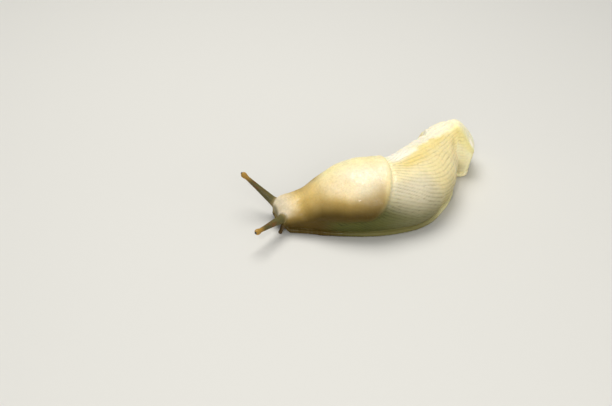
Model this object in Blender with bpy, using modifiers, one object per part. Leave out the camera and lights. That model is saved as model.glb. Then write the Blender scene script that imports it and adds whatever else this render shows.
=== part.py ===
# A life-size banana slug, drawn in and bent to one side as it crawls, resting on a flat sole.
#
# The body is lofted along one curved line on the floor, from the snout to the end of the tail. Stations
# along that line give its girth. The body is made in lengths with thin gaps between them, the foot is a
# slab beneath them, and the mantle is a thick shield over the back. -X is towards the head, +Y is the
# slug's right side, and +Z is up. The origin is on the floor, under the middle of the whole.

import math

import bmesh
import bpy
import numpy as np
from mathutils import Vector

MM = 0.001
GAP = 0.3 * MM

# Places along the body's line, measured from the snout.
BODY_LENGTH = 95.7 * MM
NECK_START = 9.5 * MM
TRUNK_START = 20.0 * MM
BACK_START = 44.5 * MM
TAIL_START = 74.0 * MM

# The head is turned a little to the left. Behind it the line runs nearly straight under the mantle, swings
# to the slug's right and turns back at the tail.
SNOUT_X = -34.39 * MM
SNOUT_Y = -15.81 * MM
HEAD_HEADING = math.radians(18)
HEAD_TURN_TO, HEAD_TURN = 14.0 * MM, math.radians(-8)
FIRST_TURN_FROM, FIRST_TURN_TO, FIRST_TURN = 37.0 * MM, 53.0 * MM, math.radians(40)
SECOND_TURN_FROM, SECOND_TURN_TO, SECOND_TURN = 77.0 * MM, 93.0 * MM, math.radians(-60)
LINE_STEPS = 800

# Girth at each station: distance from the snout, half width on the left, half width on the right, height.
GIRTH = [
    (0.0 * MM, 6.4 * MM, 6.4 * MM, 9.6 * MM),
    (5.0 * MM, 8.2 * MM, 7.6 * MM, 10.8 * MM),
    (10.0 * MM, 10.0 * MM, 8.8 * MM, 11.8 * MM),
    (16.0 * MM, 12.2 * MM, 10.4 * MM, 15.0 * MM),
    (24.0 * MM, 14.8 * MM, 12.6 * MM, 19.4 * MM),
    (34.0 * MM, 17.0 * MM, 13.4 * MM, 22.1 * MM),
    (42.0 * MM, 18.0 * MM, 12.6 * MM, 22.3 * MM),
    (50.0 * MM, 19.6 * MM, 11.2 * MM, 22.0 * MM),
    (60.0 * MM, 18.4 * MM, 10.2 * MM, 21.1 * MM),
    (68.0 * MM, 15.9 * MM, 10.0 * MM, 20.4 * MM),
    (75.0 * MM, 11.9 * MM, 11.2 * MM, 20.0 * MM),
    (82.0 * MM, 8.0 * MM, 12.6 * MM, 20.6 * MM),
    (89.0 * MM, 6.4 * MM, 11.0 * MM, 23.6 * MM),
    (95.7 * MM, 6.6 * MM, 9.4 * MM, 21.4 * MM),
]
WIDEST_SHARE = 0.40
TUCK_ANGLE = math.radians(28)

# The snout is rounded and the tail ends bluntly: lengths of the rounding, and how square each one is.
SNOUT_ROUND, SNOUT_SQUARENESS = 5.0 * MM, 2.2
TAIL_ROUND, TAIL_SQUARENESS = 6.5 * MM, 3.0
TAIL_TOP_ROUND, TAIL_TOP_SQUARENESS = 9.8 * MM, 1.35
LEAST_SHARE = 0.1

# The end of the tail leans out, so it is shorter at the floor.
LEAN, LEAN_FROM, LEAN_UP = 1.8 * MM, 84.0 * MM, 12.0 * MM

# The foot is a slab as wide as the foot of the flanks and a fringe more.
FOOT_TOP = 2.2 * MM
FLANK_BASE = FOOT_TOP + GAP
FRINGE = 0.9 * MM
FRINGE_ROUND = 0.5 * MM
FOOT_START = 2.5 * MM

# The keel along the top of the back and tail, as a height and a half angle round the section. Over the
# tail it tips to the left: distance from the snout, angle round the section.
KEEL_HEIGHT = 0.9 * MM
KEEL_ANGLE = math.radians(12)
KEEL_FROM, KEEL_TO = 48.0 * MM, 60.0 * MM
KEEL_OUT_FROM, KEEL_OUT_TO = 86.0 * MM, 92.0 * MM
KEEL_SIDE = 1.8 * KEEL_ANGLE
KEEL_RUN = [
    (0.0 * MM, math.radians(90)),
    (50.0 * MM, math.radians(90)),
    (60.0 * MM, math.radians(87)),
    (74.0 * MM, math.radians(86)),
    (80.0 * MM, math.radians(78)),
    (86.0 * MM, math.radians(66)),
    (95.7 * MM, math.radians(60)),
]

# Long furrows down each flank of the back and tail, and under the edge of the mantle. They start high
# behind the mantle and run down and back: distance from the snout, rise round the section at the middle.
RIDGES_A_SIDE = 11
FURROW_DEPTH = 0.6 * MM
FURROW_RISE = [
    (20.0 * MM, math.radians(22)),
    (44.5 * MM, math.radians(13)),
    (57.0 * MM, 0.0),
    (95.7 * MM, 0.0),
]

# Cross folds where the skin crowds inside the first turn, and one crease low on the inside of the second,
# with a shallow saddle over the top.
FOLD_SPACING = 3.6 * MM
FOLD_DEPTH = 0.9 * MM
FOLDS_FROM, FOLDS_TO = 54.0 * MM, 74.0 * MM
FOLDS_OUT, FOLDS_FULL = math.radians(80), math.radians(120)
CREASE_AT, CREASE_WIDTH, CREASE_DEPTH = 83.0 * MM, 2.2 * MM, 1.0 * MM
CREASE_FULL, CREASE_OUT = math.radians(14), math.radians(58)
SADDLE_AT, SADDLE_WIDTH, SADDLE_DEPTH = 84.2 * MM, 1.7 * MM, 0.75 * MM
SADDLE_ANGLE, SADDLE_SPREAD = math.radians(96), math.radians(26)

# Long rolls that the second turn pushes up on the far side of the tail.
ROLLS_FROM, ROLLS_FULL, ROLLS_OUT, ROLLS_TO = 68.0 * MM, 76.0 * MM, 88.0 * MM, 93.0 * MM
ROLL_START, ROLL_END, ROLL_SPACING = math.radians(92), math.radians(160), math.radians(17)
ROLL_HEIGHT = 0.6 * MM

# There the skin also rises in steps: place along X, depth.
STEPS = [(21.1 * MM, 0), (24.1 * MM, 0.8 * MM), (26.0 * MM, 2.0 * MM), (26.8 * MM, 0)]
STEPS += [(28.2 * MM, 0.6 * MM), (29.0 * MM, 0), (34.1 * MM, 0), (37.6 * MM, 0.9 * MM), (39.4 * MM, 0)]
STEPS_FROM, STEPS_FULL = 66.0 * MM, 72.0 * MM
STEP_ANGLES = [math.radians(a) for a in (108, 128, 165, 185)]

# The mantle lies over the back like a shield with rounded corners. Its back edge stays square to the head
# end, so on the outside of the turn it ends further forward.
MANTLE_FRONT = 12.5 * MM
MANTLE_BACK = 44.5 * MM
MANTLE_SLANT = 4.5 * MM
MANTLE_CLEAR = 0.5 * MM
MANTLE_THICK, MANTLE_FRONT_THICK = 1.1 * MM, 0.5 * MM
MANTLE_THINS_OVER = 12.0 * MM
MANTLE_REACH = math.radians(97)
MANTLE_SQUARENESS = 4.0
MANTLE_RIM = 0.06
MANTLE_RIM_SHARE = 0.3
MANTLE_SPOKES = 72
MANTLE_RADII = [0.04, 0.12, 0.24, 0.36, 0.48, 0.59, 0.7, 0.79, 0.87]
MANTLE_RADII += [1 - MANTLE_RIM, 1 - 0.4 * MANTLE_RIM, 1.0]

# The breathing hole, low on the right of the mantle and behind its middle.
BREATHING_HOLE_AT, BREATHING_HOLE_ANGLE = 38.0 * MM, math.radians(168)
BREATHING_HOLE_LONG, BREATHING_HOLE_TALL = 3.6 * MM, 2.6 * MM

# The mouth: a slit between two lobes under the snout. Sizes run along, across and up.
LOBE_AT, LOBE_ACROSS, LOBE_UP = 1.3 * MM, 1.35 * MM, 4.0 * MM
LOBE_SIZE = (1.5 * MM, 1.35 * MM, 1.3 * MM)
MOUTH_AT, MOUTH_UP = 0.2 * MM, 3.9 * MM
MOUTH_SIZE = (2.2 * MM, 0.5 * MM, 2.2 * MM)

# The slime pit in the end of the tail, above the foot.
PIT_AT, PIT_UP = BODY_LENGTH - 0.8 * MM, 13.4 * MM
PIT_SIZE = (1.8 * MM, 1.7 * MM, 2.4 * MM)

# Upper tentacles: root place on the head, as distance from the snout and angle round it, then sizes.
OPTIC_ROOT_AT = 1.8 * MM
OPTIC_ROOT_ANGLE = math.radians(14)
OPTIC_ROOT_RADIUS, OPTIC_TIP_RADIUS = 1.8 * MM, 0.82 * MM
RIGHT_OPTIC_WAY, RIGHT_OPTIC_LENGTH = Vector((-12.9, 5.5, 10.2)), 13.7 * MM
LEFT_OPTIC_WAY, LEFT_OPTIC_LENGTH = Vector((-9.8, -13.4, 2.9)), 13.2 * MM
TIP_LENGTH, TIP_RADIUS = 2.6 * MM, 1.17 * MM
TIP_MIDDLE, TIP_SWELL = 0.55 * TIP_LENGTH, 0.42 * TIP_LENGTH
EYE_RADIUS, EYE_HEIGHT = 0.42 * MM, 0.8 * MM
SOCKET_RADIUS, SOCKET_DEPTH = 0.74 * MM, 0.7 * MM

# Lower tentacles, the right one partly drawn in, and the collars that carry all four.
LOWER_ROOT_AT = 2.2 * MM
LOWER_ROOT_ANGLE = math.radians(-16)
LOWER_ROOT_RADIUS, LOWER_TIP_RADIUS = 0.95 * MM, 0.7 * MM
RIGHT_LOWER_WAY, RIGHT_LOWER_LENGTH = Vector((-0.5, 1.5, -1.0)), 1.7 * MM
LEFT_LOWER_WAY, LEFT_LOWER_LENGTH = Vector((-1.8, -3.4, -2.2)), 3.5 * MM
STALK_POINTS, STALK_TAPER = 7, 1.2
COLLAR_HEIGHT = 0.6 * MM
COLLAR_FLARE, COLLAR_SUNK = 1.25, 1.4

# How finely the solids are faceted.
SMOOTH_ANGLES = 33
NECK_STEP, TRUNK_STEP, BACK_STEP = 2.6 * MM, 2.6 * MM, FOLD_SPACING / 2
FOOT_STEP, HEAD_STEP = 2.0 * MM, 1.6 * MM
ROUND_SIDES = 20

FLESH = (0.80, 0.70, 0.44)
MANTLE_FLESH = (0.82, 0.66, 0.34)
HEAD_FLESH = (0.84, 0.76, 0.58)
FOOT_FLESH = (0.66, 0.62, 0.40)
TENTACLE_FLESH = (0.36, 0.34, 0.22)
TIP_FLESH = (0.70, 0.46, 0.18)
EYE_BLACK = (0.02, 0.015, 0.01)


def smooth_step(value, start, end):
    share = np.clip((value - start) / (end - start), 0, 1)
    return share * share * (3 - 2 * share)


def heading(along):
    head = HEAD_HEADING + HEAD_TURN * smooth_step(along, 0, HEAD_TURN_TO)
    first = FIRST_TURN * smooth_step(along, FIRST_TURN_FROM, FIRST_TURN_TO)
    second = SECOND_TURN * smooth_step(along, SECOND_TURN_FROM, SECOND_TURN_TO)
    return head + first + second


# The body's line, summed from its heading in small steps.
LINE_ALONG = np.linspace(0, BODY_LENGTH, LINE_STEPS)


def summed(rate):
    steps = (rate[1:] + rate[:-1]) / 2 * np.diff(LINE_ALONG)
    return np.concatenate([[0], np.cumsum(steps)])


LINE_X = SNOUT_X + summed(np.cos(heading(LINE_ALONG)))
LINE_Y = SNOUT_Y + summed(np.sin(heading(LINE_ALONG)))


def between(table, along, column=1):
    # A monotone cubic through the rows of a table, so that it never overshoots one.
    x = [row[0] for row in table]
    y = [row[column] for row in table]
    slope = [(y[i + 1] - y[i]) / (x[i + 1] - x[i]) for i in range(len(x) - 1)]
    tangent = [slope[0]]
    for before, after in zip(slope, slope[1:]):
        tangent.append(2 * before * after / (before + after) if before * after > 0 else 0)
    tangent.append(slope[-1])
    i = min(max(int(np.searchsorted(x, along)) - 1, 0), len(x) - 2)
    span = x[i + 1] - x[i]
    t = (along - x[i]) / span
    ends = y[i] * (1 + 2 * t) * (1 - t) ** 2 + y[i + 1] * t * t * (3 - 2 * t)
    return ends + span * (tangent[i] * t * (1 - t) ** 2 - tangent[i + 1] * t * t * (1 - t))


def girth(along, column):
    return between(GIRTH, along, column)


def rounding(left, length, squareness):
    # How full a section is, this far from the end of a rounded form.
    if left >= length:
        return 1.0
    share = 1 - max(0.0, left) / length
    return max(LEAST_SHARE, (1 - share**squareness) ** (1 / squareness))


def end_share(along):
    snout = rounding(along, SNOUT_ROUND, SNOUT_SQUARENESS)
    return snout * rounding(BODY_LENGTH - along, TAIL_ROUND, TAIL_SQUARENESS)


def top_share(along):
    snout = rounding(along, SNOUT_ROUND, SNOUT_SQUARENESS)
    return snout * rounding(BODY_LENGTH - along, TAIL_TOP_ROUND, TAIL_TOP_SQUARENESS)


def place(along, across, up):
    # A point this far along the body's line, to its left and above the floor.
    lean = LEAN * (1 - smooth_step(up, 0, LEAN_UP))
    along = along - lean * smooth_step(along, LEAN_FROM, BODY_LENGTH)
    x = float(np.interp(along, LINE_ALONG, LINE_X))
    y = float(np.interp(along, LINE_ALONG, LINE_Y))
    turn = float(heading(along))
    return Vector((x + across * math.sin(turn), y - across * math.cos(turn), up))


def plain_point(along, angle):
    # The angle runs from -TUCK_ANGLE at the left edge of the flank over the back to pi + TUCK_ANGLE.
    half_width = girth(along, 1 if math.cos(angle) >= 0 else 2)
    height = girth(along, 3)
    widest = FLANK_BASE + WIDEST_SHARE * (height - FLANK_BASE)
    if math.sin(angle) >= 0:
        keel = KEEL_HEIGHT * smooth_step(along, KEEL_FROM, KEEL_TO)
        keel *= 1 - smooth_step(along, KEEL_OUT_FROM, KEEL_OUT_TO)
        keel *= math.exp(-(((angle - between(KEEL_RUN, along)) / KEEL_ANGLE) ** 2))
        up = ((height - widest) * math.sin(angle) + keel) * top_share(along)
    else:
        up = (widest - FLANK_BASE) * math.sin(angle) / math.sin(TUCK_ANGLE) * end_share(along)
    return place(along, half_width * math.cos(angle) * end_share(along), widest + up)


def outward(along, angle):
    # The surface's outward direction.
    step, turn = 0.2 * MM, 0.01
    along_way = plain_point(along + step, angle) - plain_point(along - step, angle)
    round_way = plain_point(along, angle + turn) - plain_point(along, angle - turn)
    return along_way.cross(round_way).normalized()


def body_point(along, angle, lift=0.0):
    point = plain_point(along, angle)
    if lift:
        point = point + outward(along, angle) * lift
    return point


def roll_lift(along, angle):
    # Rounded rolls with sharp hollows between them.
    share = smooth_step(along, ROLLS_FROM, ROLLS_FULL) * (1 - smooth_step(along, ROLLS_OUT, ROLLS_TO))
    share *= smooth_step(angle, ROLL_START, ROLL_START + ROLL_SPACING / 2)
    share *= 1 - smooth_step(angle, ROLL_END - ROLL_SPACING, ROLL_END)
    wave = abs(math.sin(math.pi * (angle - ROLL_START) / ROLL_SPACING))
    return ROLL_HEIGHT * share * (wave**0.6 - 0.55)


def step_depth(along, angle):
    start, full, last, out = STEP_ANGLES
    share = smooth_step(along, STEPS_FROM, STEPS_FULL)
    share *= smooth_step(angle, start, full) * (1 - smooth_step(angle, last, out))
    return share * np.interp(plain_point(along, angle).x, *zip(*STEPS))


def fold_lift(along, angle):
    # Cross folds on the right of the first turn, and the crease on the left of the second.
    inside = smooth_step(angle, FOLDS_OUT, FOLDS_FULL)
    inside *= smooth_step(along, FOLDS_FROM, FOLDS_FROM + FOLD_SPACING)
    inside *= 1 - smooth_step(along, FOLDS_TO - FOLD_SPACING, FOLDS_TO)
    wave = 0.5 - 0.5 * math.cos(2 * math.pi * (along - FOLDS_FROM) / FOLD_SPACING)
    crease = 1 - smooth_step(angle, CREASE_FULL, CREASE_OUT)
    crease *= math.exp(-(((along - CREASE_AT) / CREASE_WIDTH) ** 2))
    saddle = math.exp(-(((along - SADDLE_AT) / SADDLE_WIDTH) ** 2))
    saddle *= math.exp(-(((angle - SADDLE_ANGLE) / SADDLE_SPREAD) ** 2))
    hollows = FOLD_DEPTH * inside * wave + CREASE_DEPTH * crease + SADDLE_DEPTH * saddle
    hollows += step_depth(along, angle)
    return float(roll_lift(along, angle) - hollows)


def linked(item):
    bpy.data.collections["banana_slug"].objects.link(item)
    return item


def as_cutter(item):
    # A shape that is joined to a piece or cut from it, and then removed.
    for owner in list(item.users_collection):
        owner.objects.unlink(item)
    bpy.data.collections["cutters"].objects.link(item)
    item.hide_render = True
    item.display_type = "WIRE"
    return item


def solid_from_rings(name, rings):
    # A closed loft through rings of points, with a flat face on each end.
    mesh = bmesh.new()
    rows = [[mesh.verts.new(point) for point in ring] for ring in rings]
    for before, after in zip(rows, rows[1:]):
        for i in range(len(before)):
            j = (i + 1) % len(before)
            mesh.faces.new((before[i], before[j], after[j], after[i]))
    mesh.faces.new(rows[0][::-1])
    mesh.faces.new(rows[-1])
    bmesh.ops.recalc_face_normals(mesh, faces=mesh.faces)
    data = bpy.data.meshes.new(name)
    mesh.to_mesh(data)
    mesh.free()
    data.shade_smooth()
    return linked(bpy.data.objects.new(name, data))


def stops_between(start, end, step):
    return np.linspace(start, end, max(2, round((end - start) / step) + 1))


def rounded_stops(start, end, round_length, step, at_end):
    # Stops that crowd towards a rounded end, where the section shrinks fast.
    arc = [round_length * (1 - math.cos(math.radians(a))) for a in (12, 30, 48, 66, 90)]
    if at_end:
        return [*stops_between(start, end - round_length, step)[:-1], *[end - a for a in reversed(arc)]]
    return [*[start + a for a in arc[:-1]], *stops_between(start + round_length, end, step)]


def smooth_length(name, stops):
    angles = np.linspace(-TUCK_ANGLE, math.pi + TUCK_ANGLE, SMOOTH_ANGLES)
    return solid_from_rings(name, [[body_point(s, a) for a in angles] for s in stops])


def ridged_angles(along):
    # One angle on each ridge and in each furrow of a side, and the keel between the sides.
    keel = between(KEEL_RUN, along)
    share = np.linspace(0, 1, 2 * RIDGES_A_SIDE + 1)
    rise = between(FURROW_RISE, along) * np.sin(math.pi * share)
    left = -TUCK_ANGLE + (keel - KEEL_SIDE + TUCK_ANGLE) * share + rise
    right = math.pi + TUCK_ANGLE + (keel + KEEL_SIDE - math.pi - TUCK_ANGLE) * share - rise
    furrows = [i % 2 == 1 for i in range(len(share))]
    top = [keel + k * KEEL_ANGLE for k in (-1.2, -0.6, 0, 0.6, 1.2)]
    return list(zip([*left, *top, *right[::-1]], [*furrows, *[False] * len(top), *furrows[::-1]]))


def ridged_length(name, stops):
    rings = []
    for along in stops:
        ring = []
        for angle, furrow in ridged_angles(along):
            lift = fold_lift(along, angle) - (FURROW_DEPTH if furrow else 0)
            ring.append(body_point(along, angle, lift * end_share(along)))
        rings.append(ring)
    return solid_from_rings(name, rings)


def foot_ring(along):
    left = plain_point(along, -TUCK_ANGLE)
    right = plain_point(along, math.pi + TUCK_ANGLE)
    across = (left - right).normalized()
    levels = [(FRINGE_ROUND, 0), (0, FRINGE_ROUND), (0, FOOT_TOP - FRINGE_ROUND), (FRINGE_ROUND, FOOT_TOP)]
    ring = []
    for inset, height in levels:
        edge = left + across * (FRINGE - inset)
        ring.append(Vector((edge.x, edge.y, height)))
    for inset, height in reversed(levels):
        edge = right - across * (FRINGE - inset)
        ring.append(Vector((edge.x, edge.y, height)))
    return ring


def foot_length(name, stops):
    return solid_from_rings(name, [foot_ring(s) for s in stops])


def mantle_spot(radius, spoke):
    # Distance along and angle round the body, for a place in the mantle's rounded outline.
    power = 2 / MANTLE_SQUARENESS
    lengthways = math.copysign(abs(math.cos(spoke)) ** power, math.cos(spoke)) * radius
    sideways = math.copysign(abs(math.sin(spoke)) ** power, math.sin(spoke)) * radius
    angle = math.pi / 2 + MANTLE_REACH * sideways
    half = (MANTLE_BACK - MANTLE_FRONT) / 2
    along = MANTLE_FRONT + half + half * lengthways
    return along - MANTLE_SLANT * math.cos(angle) * max(0.0, lengthways), angle


def make_mantle():
    spokes = [2 * math.pi * i / MANTLE_SPOKES for i in range(MANTLE_SPOKES)]
    rings = []
    for radius in MANTLE_RADII:
        past = max(0.0, (radius - 1 + MANTLE_RIM) / MANTLE_RIM)
        share = MANTLE_RIM_SHARE + (1 - MANTLE_RIM_SHARE) * math.sqrt(1 - past * past)
        ring = []
        for spoke in spokes:
            along, angle = mantle_spot(radius, spoke)
            back = smooth_step(along, MANTLE_FRONT, MANTLE_FRONT + MANTLE_THINS_OVER)
            thick = MANTLE_FRONT_THICK + (MANTLE_THICK - MANTLE_FRONT_THICK) * back
            ring.append(body_point(along, angle, MANTLE_CLEAR + thick * share))
        rings.append(ring)
    for radius in reversed(MANTLE_RADII):
        rings.append([body_point(*mantle_spot(radius, spoke), MANTLE_CLEAR) for spoke in spokes])
    mantle = solid_from_rings("mantle", rings)
    bpy.ops.mesh.primitive_cylinder_add(
        vertices=ROUND_SIDES,
        radius=0.5,
        depth=8 * MM,
        location=body_point(BREATHING_HOLE_AT, BREATHING_HOLE_ANGLE),
        rotation=outward(BREATHING_HOLE_AT, BREATHING_HOLE_ANGLE).to_track_quat("Z", "Y").to_euler(),
        scale=(BREATHING_HOLE_TALL, BREATHING_HOLE_LONG, 1),
    )
    cut_with(mantle, as_cutter(bpy.context.object))
    return mantle


def ball(along, across, up, size):
    # An ellipsoid that lies with the body's line, given by its half sizes along, across and up.
    bpy.ops.mesh.primitive_uv_sphere_add(
        segments=ROUND_SIDES,
        ring_count=ROUND_SIDES // 2,
        radius=1,
        location=place(along, across, up),
        rotation=(0, 0, float(heading(along))),
        scale=size,
    )
    return as_cutter(bpy.context.object)


def cone_between(start, end, start_radius, end_radius):
    bpy.ops.mesh.primitive_cone_add(
        vertices=ROUND_SIDES,
        radius1=start_radius,
        radius2=end_radius,
        depth=(end - start).length,
        location=(start + end) / 2,
        rotation=(end - start).to_track_quat("Z", "Y").to_euler(),
    )
    return as_cutter(bpy.context.object)


def islands_of(mesh):
    seen, islands = set(), []
    for start in mesh.verts:
        if start in seen:
            continue
        island, front = {start}, [start]
        while front:
            for edge in front.pop().link_edges:
                for vert in edge.verts:
                    if vert not in island:
                        island.add(vert)
                        front.append(vert)
        seen |= island
        islands.append(island)
    return sorted(islands, key=len)


def settle(item, modifier):
    # The Boolean's result replaces the mesh, and only its largest closed surface is kept.
    bpy.context.view_layer.update()
    evaluated = item.evaluated_get(bpy.context.evaluated_depsgraph_get())
    data = bpy.data.meshes.new_from_object(evaluated)
    item.modifiers.remove(modifier)
    item.data = data
    mesh = bmesh.new()
    mesh.from_mesh(data)
    loose = [vert for island in islands_of(mesh)[:-1] for vert in island]
    bmesh.ops.delete(mesh, geom=loose, context="VERTS")
    mesh.to_mesh(data)
    mesh.free()


def cut_with(item, cutter):
    modifier = item.modifiers.new("cut", "BOOLEAN")
    modifier.operation = "DIFFERENCE"
    modifier.object = cutter
    settle(item, modifier)
    bpy.data.objects.remove(cutter, do_unlink=True)


def join_pieces(item, pieces):
    modifier = item.modifiers.new("join", "BOOLEAN")
    modifier.operation = "UNION"
    modifier.operand_type = "COLLECTION"
    modifier.collection = bpy.data.collections["cutters"]
    settle(item, modifier)
    for piece in pieces:
        bpy.data.objects.remove(piece, do_unlink=True)


def tentacle_root(at, angle, way):
    # Where a tentacle leaves its collar, a little above the head's skin.
    return body_point(at, angle) + way.normalized() * COLLAR_HEIGHT


def make_collar(at, angle, way, radius):
    top = tentacle_root(at, angle, way)
    foot = top - way.normalized() * (COLLAR_HEIGHT + COLLAR_SUNK * radius)
    return cone_between(foot, top, radius * COLLAR_FLARE, radius)


def make_head(tentacles):
    stops = rounded_stops(0.0, NECK_START - GAP / 2, SNOUT_ROUND, HEAD_STEP, at_end=False)
    head = smooth_length("head", stops)
    pieces = [make_collar(*tentacle) for tentacle in tentacles]
    pieces += [ball(LOBE_AT, side * LOBE_ACROSS, LOBE_UP, LOBE_SIZE) for side in (-1, 1)]
    join_pieces(head, pieces)
    bpy.ops.mesh.primitive_cube_add(
        size=1,
        location=place(MOUTH_AT, 0, MOUTH_UP),
        rotation=(0, 0, HEAD_HEADING),
        scale=MOUTH_SIZE,
    )
    cut_with(head, as_cutter(bpy.context.object))
    return head


def make_stalk(name, root, way, length, root_radius, tip_radius):
    way = way.normalized()
    start = root + way * GAP
    curve = bpy.data.curves.new(name, "CURVE")
    curve.dimensions = "3D"
    curve.bevel_depth = 1.0
    curve.bevel_resolution = 2
    curve.use_fill_caps = True
    spline = curve.splines.new("POLY")
    spline.points.add(STALK_POINTS - 1)
    for i, point in enumerate(spline.points):
        share = i / (STALK_POINTS - 1)
        point.co = (*(start + way * length * share), 1)
        point.radius = tip_radius + (root_radius - tip_radius) * (1 - share) ** STALK_TAPER
    return linked(bpy.data.objects.new(name, curve))


def turned(name, profile, foot, way):
    # A solid turned about its own Z axis, from a profile that runs from the top of the axis to its foot.
    data = bpy.data.meshes.new(name)
    points = [(radius, 0, height) for radius, height in profile]
    data.from_pydata(points, [(i, i + 1) for i in range(len(points) - 1)], [])
    item = linked(bpy.data.objects.new(name, data))
    screw = item.modifiers.new("turn", "SCREW")
    screw.steps = screw.render_steps = ROUND_SIDES
    screw.use_merge_vertices = True
    screw.merge_threshold = 0.01 * MM
    item.location = foot
    item.rotation_euler = way.to_track_quat("Z", "Y").to_euler()
    return item


def make_tip(side, foot, way):
    # The rounded bulb at the end of an upper tentacle, with a socket in it, and the eye that sits there.
    socket_floor = TIP_LENGTH - SOCKET_DEPTH
    profile = [(0, socket_floor), (SOCKET_RADIUS, socket_floor), (SOCKET_RADIUS, TIP_LENGTH)]
    for turn in (math.radians(a) for a in (50, 25, 0, -25)):
        profile.append((TIP_RADIUS * math.cos(turn) ** 0.8, TIP_MIDDLE + TIP_SWELL * math.sin(turn)))
    profile += [(OPTIC_TIP_RADIUS, 0), (0, 0)]
    bulb = turned(f"optic_tip_{side}", profile, foot, way)
    base = socket_floor + GAP
    dome = [(0, base + EYE_HEIGHT), (0.6 * EYE_RADIUS, base + 0.87 * EYE_HEIGHT)]
    dome += [(EYE_RADIUS, base + 0.5 * EYE_HEIGHT), (EYE_RADIUS, base), (0, base)]
    return bulb, turned(f"eye_{side}", dome, foot, way)


def make_tail():
    stops = rounded_stops(TAIL_START + GAP / 2, BODY_LENGTH, TAIL_ROUND, BACK_STEP, at_end=True)
    tail = ridged_length("tail", stops)
    cut_with(tail, ball(PIT_AT, 0, PIT_UP, PIT_SIZE))
    return tail


def make_foot():
    marks = [FOOT_START - GAP / 2, TRUNK_START, BACK_START, TAIL_START]
    names = ("foot_front", "foot_middle", "foot_back")
    lengths = []
    for name, start, end in zip(names, marks, marks[1:]):
        lengths.append(foot_length(name, stops_between(start + GAP / 2, end - GAP / 2, FOOT_STEP)))
    stops = rounded_stops(TAIL_START + GAP / 2, BODY_LENGTH, TAIL_ROUND, FOOT_STEP, at_end=True)
    return [*lengths, foot_length("foot_tail", stops)]


def paint(items, colour, roughness):
    for item in items:
        material = bpy.data.materials.new(item.name)
        material.use_nodes = True
        shader = material.node_tree.nodes["Principled BSDF"]
        shader.inputs["Base Color"].default_value = (*colour, 1)
        shader.inputs["Roughness"].default_value = roughness
        shader.inputs["Metallic"].default_value = 0
        item.data.materials.clear()
        item.data.materials.append(material)


def build():
    for item in list(bpy.data.objects):
        bpy.data.objects.remove(item, do_unlink=True)
    for name in ("banana_slug", "cutters"):
        bpy.context.scene.collection.children.link(bpy.data.collections.new(name))

    sides = (
        ("left", LEFT_OPTIC_WAY, LEFT_OPTIC_LENGTH, LEFT_LOWER_WAY, LEFT_LOWER_LENGTH),
        ("right", RIGHT_OPTIC_WAY, RIGHT_OPTIC_LENGTH, RIGHT_LOWER_WAY, RIGHT_LOWER_LENGTH),
    )
    collars, stalks, bulbs, eyes = [], [], [], []
    for side, optic_way, optic_length, lower_way, lower_length in sides:
        angles = (OPTIC_ROOT_ANGLE, LOWER_ROOT_ANGLE)
        optic_angle, lower_angle = angles if side == "left" else (math.pi - a for a in angles)
        collars.append((OPTIC_ROOT_AT, optic_angle, optic_way, OPTIC_ROOT_RADIUS))
        collars.append((LOWER_ROOT_AT, lower_angle, lower_way, LOWER_ROOT_RADIUS))
        root = tentacle_root(OPTIC_ROOT_AT, optic_angle, optic_way)
        sizes = (optic_length, OPTIC_ROOT_RADIUS, OPTIC_TIP_RADIUS)
        stalks.append(make_stalk(f"optic_tentacle_{side}", root, optic_way, *sizes))
        end = root + optic_way.normalized() * (optic_length + 2 * GAP)
        bulb, eye = make_tip(side, end, optic_way)
        bulbs.append(bulb)
        eyes.append(eye)
        root = tentacle_root(LOWER_ROOT_AT, lower_angle, lower_way)
        sizes = (lower_length, LOWER_ROOT_RADIUS, LOWER_TIP_RADIUS)
        stalks.append(make_stalk(f"lower_tentacle_{side}", root, lower_way, *sizes))

    half = GAP / 2
    head = make_head(collars)
    neck = smooth_length("neck", stops_between(NECK_START + half, TRUNK_START - half, NECK_STEP))
    trunk = ridged_length("trunk", stops_between(TRUNK_START + half, BACK_START - half, TRUNK_STEP))
    back = ridged_length("back", stops_between(BACK_START + half, TAIL_START - half, BACK_STEP))
    paint([neck, trunk, back, make_tail()], FLESH, 0.35)
    paint([head], HEAD_FLESH, 0.35)
    paint([make_mantle()], MANTLE_FLESH, 0.3)
    paint(make_foot(), FOOT_FLESH, 0.4)
    paint(stalks, TENTACLE_FLESH, 0.3)
    paint(bulbs, TIP_FLESH, 0.3)
    paint(eyes, EYE_BLACK, 0.1)


build()
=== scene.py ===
import math

import bpy
import numpy as np
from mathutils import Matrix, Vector


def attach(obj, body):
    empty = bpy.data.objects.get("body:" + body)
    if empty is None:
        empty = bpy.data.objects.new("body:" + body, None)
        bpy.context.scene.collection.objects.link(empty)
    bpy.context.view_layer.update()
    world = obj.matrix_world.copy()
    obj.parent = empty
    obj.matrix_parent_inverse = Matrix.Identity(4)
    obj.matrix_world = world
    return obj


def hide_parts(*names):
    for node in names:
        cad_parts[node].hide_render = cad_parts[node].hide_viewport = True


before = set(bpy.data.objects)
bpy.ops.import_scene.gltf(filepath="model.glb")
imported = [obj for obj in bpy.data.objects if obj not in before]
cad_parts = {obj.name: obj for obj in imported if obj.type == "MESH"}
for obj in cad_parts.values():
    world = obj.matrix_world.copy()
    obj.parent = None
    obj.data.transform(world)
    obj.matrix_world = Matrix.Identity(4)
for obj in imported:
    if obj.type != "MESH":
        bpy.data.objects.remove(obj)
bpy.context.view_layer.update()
print("frame loaded:", len(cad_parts), "nodes")

# Sizes are in millimetres and angles in degrees until a mesh is made.
mm = 0.001

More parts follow.
